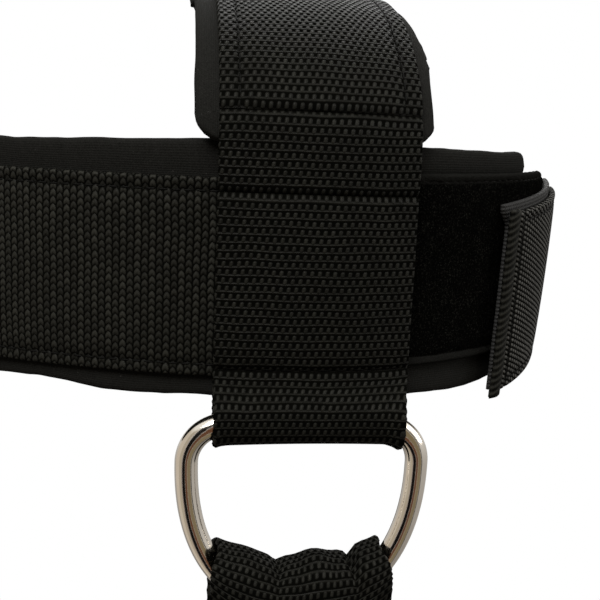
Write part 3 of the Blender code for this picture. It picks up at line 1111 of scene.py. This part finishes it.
def bend_ring(node, side, bar_z):
    path, places = ring_path()
    around = 28
    ahead = np.roll(path, -1, axis=0) - np.roll(path, 1, axis=0)
    ahead[0] = ahead[-1] = (1.0, 0.0)
    ahead /= np.linalg.norm(ahead, axis=1, keepdims=True)
    angles = 2 * math.pi * np.arange(around + 1)[:, None] / around
    from_weld = np.minimum(places, places[-1] - places)
    radius = wire_radius * (1 + weld_swell * bell(from_weld, weld_reach))
    xs = ring_x + path[:, 0] + ahead[:, 1] * np.cos(angles) * radius
    zs = bar_z + path[:, 1] - ahead[:, 0] * np.cos(angles) * radius
    us, vs = np.broadcast_arrays(angles * wire_radius, places)
    ring = grid_through(station(xs, side + np.sin(angles) * radius, zs), us, vs)[0]
    bmesh.ops.remove_doubles(ring, verts=ring.verts, dist=0.00001)
    bmesh.ops.recalc_face_normals(ring, faces=ring.faces)
    piece = put_down(node + "_wire", ring, [nickel])
    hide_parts(node)
    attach(piece, node)


for word, facing in (("left", -1.0), ("right", 1.0)):
    bend_ring("side_ring_" + word, facing * bar_side, bar_height)
    bend_ring("load_ring_" + word, facing * bar_side, load_bar_height)


# Load straps
# The same heavy webbing, gathered where it goes over the ring's bow and flat below, with its two
# plies boxed together by stitches and its end lapped on the inner side above the load ring.
gathered_width = 0.0472
loop_top_width = 0.0430
bow_loop_half_width = 0.0081
bow_loop_fullness = 0.72
bow_snug = 0.0005
bow_sag = 0.0055
lap_length = 0.030
lap_above_bar = 0.040
sewn_below_bow = 0.016
sewn_above_bar = 0.018
ply_run_in = 0.006
load_strap_row = 0.0036
gathers_reach = 0.014
gathers = ((-0.0140, 0.0040, 0.0006), (-0.0056, 0.0018, -0.0011), (0.0042, 0.0040, 0.0014),
           (0.0137, 0.0014, -0.0018), (0.0170, 0.0016, 0.0002))


def bow_level(xs):
    share = (1 - np.abs(xs / ring_half_width) ** ring_bow_roundness) ** (1 / ring_bow_roundness)
    return -ring_shoulder - (ring_drop - ring_shoulder) * share


def gathering(xs):
    """How far the gathered webbing stands up: broad folds with a narrow pinch beside each."""
    return sum(height * bell(xs - place, width) for place, width, height in gathers)


def loop_top(xs):
    """Heights of the loop over the bow: it bears on the wire at its two edges and sags between."""
    edge = loop_top_width / 2
    step = 0.0001
    slope = (bow_level(edge + step) - bow_level(edge - step)) / (2 * step)
    snug = (wire_radius + bow_snug + webbing_thick / 2) * math.hypot(1.0, slope)
    return bow_level(edge) + snug - bow_sag * (1.0 - (xs / edge) ** 2) + gathering(xs)


def load_strap_strip(facing):
    rows = [load_strap_row, webbing_width - load_strap_row]
    across = places_across(webbing_width, rows, 0.0016)
    xs = facing * (2 * across / webbing_width - 1) * half_webbing
    top_xs = xs * loop_top_width / webbing_width
    side_xs = xs * gathered_width / webbing_width
    half_xs = (xs + side_xs) / 2
    ply = (webbing_thick + seam_gap) / 2
    over = loop_top(top_xs) - bow_level(top_xs)
    half_loop = bow_loop_half_width + webbing_thick / 2
    sewn_top = -ring_drop - sewn_below_bow
    bar = -ring_drop - load_strap_length
    sewn_low = bar + sewn_above_bar
    lap_low = bar + lap_above_bar
    stations = [station(xs, ply, z) for z in np.linspace(lap_low, sewn_top - ply_run_in, 5)]
    stations.append(station(half_xs, ply, sewn_top))
    for angle in np.linspace(0.0, math.pi, 13):
        up = math.sin(angle) ** bow_loop_fullness
        out = math.copysign(abs(math.cos(angle)) ** bow_loop_fullness, math.cos(angle))
        loop_xs = side_xs + (top_xs - side_xs) * up ** 4
        stations.append(station(loop_xs, half_loop * out, bow_level(top_xs) + over * up))
    stations.append(station(half_xs, -ply, sewn_top))
    stations += [station(xs, -ply, z) for z in np.linspace(sewn_top - ply_run_in, sewn_low, 8)]
    fold_xs = xs * fold_width / webbing_width
    stations += fold_round_bar(fold_xs, 0.0, 0.0, bar, -1.0, fold_rise_out, fold_rise_in)
    stations.append(station(xs, ply, sewn_low))
    stations.append(station(xs, ply, lap_low - ply_run_in))
    outer = ply + webbing_thick + seam_gap
    lap = np.linspace(lap_low - seam_gap, lap_low + lap_length, 4)
    stations += [station(xs, outer, z) for z in lap]
    xs, ys, zs = np.moveaxis(np.stack(stations, axis=1), -1, 0)
    hung = station(ring_x + xs, facing * (bar_side - ys), bar_height + zs)
    return Strip(across, refine(hung, 0.00060)), rows


def sew_load_strap(node, facing):
    strip, rows = load_strap_strip(facing)
    heights = strip.middle()[:, 2]
    top = int(np.argmax(heights))
    low = int(np.argmin(heights))
    sewn_top = passes(strip, bow_height - sewn_below_bow - 0.002, top, low)
    sewn_low = passes(strip, load_bar_height + sewn_above_bar - 0.002, top, low)
    box_low = passes(strip, load_bar_height + lap_above_bar, top, low)
    local_x = facing * (strip.us - half_webbing)
    from_top = strip.vs - strip.along[top]
    fade = np.exp(-np.abs(from_top) / gathers_reach)
    ridges = gathering(local_x * loop_top_width / webbing_width)
    strip.push(ridges * fade * np.where(from_top > 0, 0.9, 0.5))
    for v in (sewn_top, sewn_low, box_low):
        strip.sink_across(v, 0.0006)
    strip.sink_along(rows, 0.0004, sewn_top, sewn_low)
    strip.scallop(weave_row, 0.00016)
    piece = sheet(node + "_cloth", strip, webbing_thick, [strap_nylon], 0.0006)
    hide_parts(node)
    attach(piece, node)
    sewn = Stitching()
    for v in (sewn_top, box_low, sewn_low):
        sewn.row(strip, (rows[0], v), (rows[1], v), seam_pitch)
    sewn.rows(strip, rows, sewn_top, sewn_low, pitch=seam_pitch)
    sewn.row(strip, (rows[0], box_low), (rows[1], sewn_low), seam_pitch)
    sewn.row(strip, (rows[1], box_low), (rows[0], sewn_low), seam_pitch)
    sewn.finish(node + "_stitches", node)


for word, facing in (("left", -1.0), ("right", 1.0)):
    sew_load_strap("load_strap_" + word, facing)
